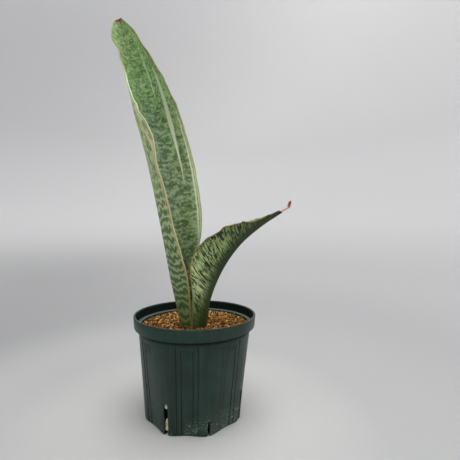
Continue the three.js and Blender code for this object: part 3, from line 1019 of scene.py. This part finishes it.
TALL_LOOK = {
    "back": wavy_bands,
    "marked": True,
    "channel": 0.6,
    "keel": (-2, -1),
    "inner_dark": leaf_stops(
        (30, 64, 79, 46), (120, 64, 82, 48), (230, 64, 84, 50), (300, 70, 94, 55),
        (350, 80, 108, 64), (430, 92, 118, 74)),
    "inner_light": leaf_stops(
        (30, 128, 138, 94), (120, 130, 146, 104), (230, 126, 142, 102), (300, 132, 154, 108),
        (350, 144, 172, 120), (430, 158, 180, 128)),
    "outer_dark": leaf_stops(
        (20, 60, 82, 42), (100, 66, 84, 48), (210, 84, 106, 66), (330, 100, 124, 78)),
    "outer_light": leaf_stops(
        (20, 108, 130, 82), (100, 136, 154, 108), (210, 164, 177, 130), (330, 172, 186, 140)),
    "left_tone": leaf_stops(
        (40, 136, 122, 76), (140, 168, 160, 113), (230, 160, 158, 120), (290, 172, 176, 138),
        (345, 186, 194, 152), (385, 142, 142, 102)),
    "right_tone": leaf_stops((100, 172, 178, 144), (300, 166, 174, 136), (350, 134, 144, 104)),
    "left_band": [(60, 0.9), (150, 1.2), (270, 1.2), (320, 2.8), (380, 0.3)],
    "right_band": [(90, 0.5), (130, 2.4), (230, 2.8), (300, 1.6), (330, 0.3)],
    # Left line: the margin's own brown, stronger low down as painted shadow between the leaves
    "left_line": [(60, 0.6), (200, 0.35), (330, 0.3), (400, 0.6)],
    "right_line": [(100, 0.5), (340, 0.5)],
    "scars": [(-19.7, 376, 3.2), (-31, 352, 1.4)],
    "burnt_from": 441,
}
SHORT_LOOK = {
    "back": flame_streaks,
    "marked": False,
    "channel": 0.3,
    # Painted shade: the pale pattern fades out towards the keel, which faces down
    "keel": (5, 24),
    "inner_dark": leaf_stops((40, 56, 72, 44), (150, 84, 103, 68)),
    "inner_light": leaf_stops((40, 106, 124, 86), (150, 140, 158, 120)),
    "outer_dark": leaf_stops(
        (15, 40, 58, 26), (60, 38, 54, 20), (110, 32, 46, 15), (160, 30, 42, 17)),
    "outer_light": leaf_stops(
        (15, 80, 104, 54), (60, 162, 176, 128), (105, 142, 160, 106), (150, 100, 116, 72),
        (190, 74, 88, 52)),
    "left_tone": leaf_stops((60, 116, 124, 86), (140, 176, 176, 148)),
    "right_tone": leaf_stops(
        (45, 106, 118, 78), (75, 156, 136, 102), (105, 140, 104, 72), (150, 78, 62, 44)),
    "left_band": [(60, 0.3), (150, 1)],
    "right_band": [(60, 0.2), (150, 0.1)],
    "left_line": [(60, 0.4), (150, 0.2)],
    "right_line": [(50, 0.2), (90, 0.7), (150, 0.9)],
    "scars": [(20, 200, 1.5)],
    "burnt_from": 500,
}


def shade_beside_rim(m, base, mottle):
    """Lime mottle beside the left margin and paler mottle beside the right, on the inner face"""
    beside = m.times(m.steps(m.rim, 17, 3), m.steps(m.face, 0.6, 0.3))
    lime = m.mix(mottle, leaf_colour(82, 118, 50), leaf_colour(142, 168, 88))
    on_left = m.times(m.steps(m.across, 0, -8),
                      m.along([(262, 0), (300, 0.75), (340, 0.75), (372, 0)]))
    base = m.mix(m.times(beside, on_left), base, lime)
    on_right = m.times(m.steps(m.across, 0, 8),
                       m.along([(90, 0), (150, 0.5), (330, 0.5), (400, 0.2)]),
                       m.blend(mottle, 0.4, 1))
    return m.mix(m.times(beside, on_right), base, leaf_colour(170, 188, 142))


def add_mark(m, base, key, softness, strength, *tone):
    """Draws one of the marks over the base colour, its edges as soft as given in millimetres"""
    off = m.math("ABSOLUTE", m.attribute(key + "_off"))
    half = m.attribute(key + "_half")
    inside = m.steps(m.math("SUBTRACT", half, off), -softness, softness)
    return m.mix(m.times(inside, m.steps(half, 0.05, 0.3), strength), base, leaf_colour(*tone))


def add_marks(m, base, back):
    """Painted highlights along two ridges of the inner face and a pale line beside its right
    margin, then the cream and the fold's line on the left of the back
    """
    # Painted highlight along a fold ridge
    base = add_mark(m, base, "painted_ridge_highlight", 0.6, 0.85, 184, 204, 164)
    # Painted highlight along the ridge beside the channel
    base = add_mark(m, base, "painted_highlight_streak", 0.8, 0.9, 186, 194, 168)
    base = add_mark(m, base, "side_line", 0.5, 0.9, 196, 202, 172)
    creamy = m.times(m.steps(m.rim, 11, 3), m.steps(m.face, 0.5, 0.9), m.steps(m.across, 0, -8),
                     m.steps(m.length, 262, 300), m.blend(back, 0.2, 0.8))
    base = m.mix(creamy, base, leaf_colour(188, 196, 152))
    return add_mark(m, base, "fold_line", 0.7, 0.85, 176, 172, 130)


def add_margins(m, base, look, ragged):
    """Bands along both margins, the rounded rims and the thin brown line beside them"""
    is_right = m.steps(m.across, -2, 2)

    def of_side(key, join):
        return join(is_right, m.along(look["left_" + key]), m.along(look["right_" + key]))

    depth = m.math("SUBTRACT", m.math("ADD", m.rim, ragged), of_side("band", m.blend))
    base = m.mix(m.steps(depth, 0.5, -0.4), base, of_side("tone", m.mix))
    worn = m.math("MULTIPLY_ADD", ragged, 0.5, m.rim)
    line = m.times(m.steps(worn, -0.5, -0.1), m.steps(worn, 0.7, 0.2))
    # The thin brown line is the margins' own colour, partly painted shadow where it is strongest
    # low on the tall leaf's left margin
    return m.mix(m.times(line, of_side("line", m.blend)), base, leaf_colour(96, 66, 42))


def finish_leaf(piece, look):
    """Mottled inner face, patterned back, margins with their lines, marks and dry ends"""
    m = LeafFinish(piece.name)
    both_faces = m.vector(m.across, m.length, m.times(m.face, FACES_APART))
    mottle = blotches(m)
    inner = m.mix(mottle, m.along(look["inner_dark"]), m.along(look["inner_light"]))
    channel = m.times(m.steps(m.spread, 34, 6), m.along([(60, 0), (190, 1), (290, 1), (350, 0)]))
    grey = m.mix(mottle, leaf_colour(66, 88, 70), leaf_colour(122, 140, 112))
    inner = m.mix(m.times(channel, look["channel"]), inner, grey)
    back = look["back"](m)
    # On the short leaf the pale pattern fades out towards the keel: painted shade where the
    # underside turns down from the light
    patterned = m.times(back, m.steps(m.spread, *look["keel"]))
    outer = m.mix(patterned, m.along(look["outer_dark"]), m.along(look["outer_light"]))
    base = m.mix(m.steps(m.face, 0.3, 0.7), inner, outer)
    if look["marked"]:
        base = shade_beside_rim(m, base, mottle)
        base = add_marks(m, base, back)

    fray = m.noise(both_faces, (0.3, 0.3, 0.3), 3, 0.6)
    ragged = m.math("MULTIPLY_ADD", fray, 2, -1)
    base = add_margins(m, base, look, ragged)
    for across, length, size in look["scars"]:
        away = m.with_vector("DISTANCE", m.flat, (across, length, 0), "Value")
        scar = m.steps(m.math("ADD", away, ragged), size, size - 1.2)
        base = m.mix(scar, base, leaf_colour(120, 84, 52))

    burnt = m.math("ADD", m.length, m.math("MULTIPLY_ADD", fray, 8, -4))
    burnt = m.steps(burnt, look["burnt_from"], look["burnt_from"] + 2)
    burnt = m.times(burnt, m.math("SUBTRACT", 1, m.dry))
    base = m.mix(burnt, base, leaf_colour(112, 60, 40))
    dead = m.noise(both_faces, (0.5, 0.16, 0.4), 3, 0.6)
    pale = m.mix(m.steps(dead, 0.4, 0.6), leaf_colour(150, 112, 92), leaf_colour(196, 164, 142))
    brown = m.mix(m.steps(dead, 0.4, 0.62), leaf_colour(112, 56, 38), leaf_colour(160, 92, 66))
    withered = m.steps(m.math("MULTIPLY_ADD", dead, 12, m.length), 26, 36)
    base = m.mix(m.steps(m.dry, 0.4, 0.6), base, m.mix(withered, pale, brown))

    grain = m.noise(both_faces, (1.6, 0.12, 1), 3, 0.6)
    skin = m.total((mottle, 0.15), (grain, 0.6), (fray, 0.3))
    m.finish(piece, base, m.blend(grain, 0.42, 0.6), 0.28, m.bump(skin, 0.25))


def finish_pot(piece):
    """Dark green moulded plastic: faint flow marks, painted shade in the creases, under the rim,
    under the base and inside, painted highlights on the lip and the ledge, and pale dirt low down
    """
    m = Finish(piece.name)
    place = m.place()
    painted_shading = m.attribute("painted_shading")
    inside = m.attribute("inside")
    flow = m.noise(place, (0.12, 0.12, 0.008), 4, 0.6)
    tone = m.total((flow, 0.5), (m.noise(place, 0.03), 0.5))
    base = m.mix(m.steps(tone, 0.35, 0.65), (0.003, 0.02, 0.012, 1), (0.008, 0.038, 0.026, 1))
    # Painted shade: near black in the panel lines, under the rim, under the base and inside
    base = m.mix(m.times(painted_shading, 0.9), base, (0.001, 0.003, 0.002, 1))
    # Painted shade: darker still on the inner side of the wall
    base = m.mix(m.times(inside, 0.8), base, (0.001, 0.004, 0.003, 1))
    # Painted highlight: paler on the lip and the ledge
    base = m.mix(m.steps(painted_shading, 0, -1), base, (0.16, 0.2, 0.175, 1))
    haze = m.noise(place, 0.05, 3, 0.6)
    splashed = m.times(m.steps(m.axis(place, "X"), 5, 30), 0.2)
    low = m.steps(m.axis(place, "Z"), 34, 6)
    dusty = m.times(m.steps(m.math("ADD", haze, splashed), 0.5, 0.68), low)
    spots = m.times(m.steps(m.noise(place, 0.42, 2, 0.7), 0.59, 0.66), dusty)
    base = m.mix(m.times(dusty, 0.1), base, (0.2, 0.24, 0.2, 1))
    base = m.mix(m.times(spots, 0.75), base, (0.55, 0.58, 0.52, 1))
    grain = m.noise(place, 1.4, 2, 0.6)
    worn = m.noise(place, 0.15, 3, 0.6)
    rough = m.total((worn, 0.3), (painted_shading, 0.4), (inside, 0.2), (spots, 0.3))
    specular = m.blend(m.math("MAXIMUM", painted_shading, inside), 0.42, 0.12)
    skin = m.total((flow, 0.6), (grain, 0.2), (spots, 0.5))
    m.finish(piece, base, m.math("ADD", rough, 0.25), specular, m.bump(skin, 0.15))


def finish_soil(piece):
    """Fired clay granules, each with its own brown or tan, and the dark core between them as
    painted shade
    """
    m = Finish(piece.name)
    fine = m.noise(m.place(), 1.6, 4, 0.65)
    base = m.graded(m.total((m.attribute("tint"), 1), (fine, 0.4)), [
        (0.2, colour(48, 28, 10)), (0.5, colour(119, 74, 26)), (0.85, colour(164, 111, 50)),
        (1.15, colour(224, 186, 120)),
    ])
    m.finish(piece, base, 0.92, 0.2, m.bump(fine, 0.5))


def finish_pumice(piece):
    """Porous cream grains, and the near-black core between them as painted shade"""
    m = Finish(piece.name)
    tint = m.attribute("tint")
    pores = m.noise(m.place(), 2.2, 4, 0.7)
    base = m.mix(m.steps(tint, 0, 0.9), colour(214, 198, 148, 1.3), colour(240, 232, 200, 1.3))
    base = m.mix(m.steps(pores, 0.56, 0.66), base, colour(150, 122, 74))
    # Painted shade: the core, with tint 0, is near black between the grains
    base = m.mix(m.steps(tint, 0.02, 0.01), base, colour(14, 11, 8))
    m.finish(piece, base, 0.95, 0.15, m.bump(pores, 0.6))


def finish_rhizome(piece):
    """Fleshy orange stem with rings and scaly skin"""
    m = Finish("rhizome_skin")
    place = m.place()
    rings = m.noise(place, (0.6, 0, 0))
    scales = m.noise(place, 0.5, 4, 0.6)
    tone = m.total((scales, 0.5), (rings, 0.5))
    base = m.mix(m.steps(tone, 0.4, 0.62), colour(160, 92, 36), colour(222, 160, 92))
    m.finish(piece, base, 0.7, 0.3, m.bump(tone, 0.6))


# Room, lights and camera

def make_floor():
    """Round floor that curves up into a wall all round, open at the top, with painted shading"""
    flat, bend, sides = COVE.floor_radius, COVE.bend, COVE.sides
    profile = [(r, 0) for r in np.linspace(0.5, flat, COVE.floor_rings)]
    for k in range(1, COVE.steps + 1):
        turn = 0.5 * math.pi * k / COVE.steps
        profile.append((flat + bend * math.sin(turn), bend * (1 - math.cos(turn))))
    profile.append((flat + bend, COVE.height))
    angles = np.linspace(0, 2 * math.pi, sides, endpoint=False)
    points = [(r * math.cos(a), r * math.sin(a), z - COVE.drop)
              for r, z in profile for a in angles]
    faces = ring_faces(len(profile), sides)[: (len(profile) - 1) * sides]
    faces.append(tuple(range(sides)))
    floor = make_mesh("studio_floor", points, faces)
    m = Finish("studio_floor")
    place = m.place()
    x, z = m.axis(place, "X"), m.axis(place, "Z")
    reach = m.with_vector("LENGTH", m.scaled(place, (1, 1, 0)), output="Value")
    beyond = m.math("MAXIMUM", m.math("SUBTRACT", reach, COVE.near), 0)
    # Painted shading by height up the wall and distance from the pot
    base = m.graded(m.total((z, 1), (beyond, COVE.distance_share)),
                    [(away, (*tone, 1)) for away, *tone in FLOOR_SHADING_TONES])
    # Painted shade high on the left of the wall
    painted_shade_high_left = m.steps(m.total((x, -1), (z, 1.2)), 600, 1900)
    base = m.mix(m.times(painted_shade_high_left, 0.75), base, (0.34, 0.34, 0.35, 1))
    # Painted shade low on the left, where the floor bends up
    painted_shade_low_left = m.times(m.steps(x, 100, -500),
                       m.graded(z, [(4, 0), (40, 0.6), (120, 0.6), (260, 0)]))
    base = m.mix(painted_shade_low_left, base, (0.28, 0.28, 0.285, 1))
    m.finish(floor, base, 0.8, 0.15)


def area_light(name, width, depth, power, place, target):
    light = bpy.data.lights.new(name, "AREA")
    light.shape = "RECTANGLE"
    light.size = width * MM
    light.size_y = depth * MM
    light.energy = power
    lamp = bpy.data.objects.new(name, light)
    lamp.location = Vector(place) * MM
    aim = (Vector(target) - Vector(place)).to_track_quat("-Z", "Y")
    lamp.rotation_euler = aim.to_euler()
    bpy.context.scene.collection.objects.link(lamp)


def make_lights():
    for light in LIGHTS:
        area_light(*light)
    world = bpy.data.worlds.new("studio")
    world.use_nodes = True
    background = world.node_tree.nodes["Background"]
    background.inputs["Color"].default_value = WORLD.colour
    background.inputs["Strength"].default_value = WORLD.strength
    bpy.context.scene.world = world


def make_camera():
    camera = bpy.data.cameras.new("camera")
    camera.lens = CAMERA.lens
    camera.sensor_width = CAMERA.sensor
    camera.clip_start = CAMERA.nearest * MM
    eye = bpy.data.objects.new("camera", camera)
    tilt = Matrix.Rotation(math.radians(90 - CAMERA.pitch), 4, "X")
    roll = Matrix.Rotation(math.radians(CAMERA.roll), 4, "Z")
    eye.matrix_world = Matrix.Translation(Vector(CAMERA.place) * MM) @ tilt @ roll
    bpy.context.scene.collection.objects.link(eye)
    bpy.context.scene.camera = eye


def settle(piece, node):
    """The piece rides on the only body and stands for its node, which is hidden"""
    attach(piece, "root")
    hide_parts(node)


def leaf_outline_at_soil(leaf):
    """The leaf's outline where it enters the soil, seen from above"""
    rings, _ = leaf_rings(leaf)
    return rings[BURIED.rows, :, :2]


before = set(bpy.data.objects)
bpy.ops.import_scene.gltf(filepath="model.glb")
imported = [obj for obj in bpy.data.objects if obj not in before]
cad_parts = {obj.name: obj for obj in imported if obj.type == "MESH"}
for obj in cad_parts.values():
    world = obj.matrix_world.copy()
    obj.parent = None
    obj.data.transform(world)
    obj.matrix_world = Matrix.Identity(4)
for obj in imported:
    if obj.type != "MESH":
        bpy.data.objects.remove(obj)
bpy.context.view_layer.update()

pot = make_pot()
finish_pot(pot)
settle(pot, "pot")

tall = make_leaf("tall_leaf_blade", TALL_LEAF, MARKS)
finish_leaf(tall, TALL_LOOK)
settle(tall, "leaf_tall")

short = make_leaf("short_leaf_blade", SHORT_LEAF, {})
short = join([short, make_withered_tip(SHORT_LEAF)])
finish_leaf(short, SHORT_LOOK)
settle(short, "leaf_short")

soil = make_soil([leaf_outline_at_soil(leaf) for leaf in (TALL_LEAF, SHORT_LEAF)])
finish_soil(soil)
settle(soil, "potting_soil")

pumice = make_pumice()
finish_pumice(pumice)
settle(pumice, "pumice_layer")

finish_rhizome(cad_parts["rhizome"])

make_floor()
make_lights()
make_camera()
bpy.context.scene.view_settings.view_transform = "Standard"
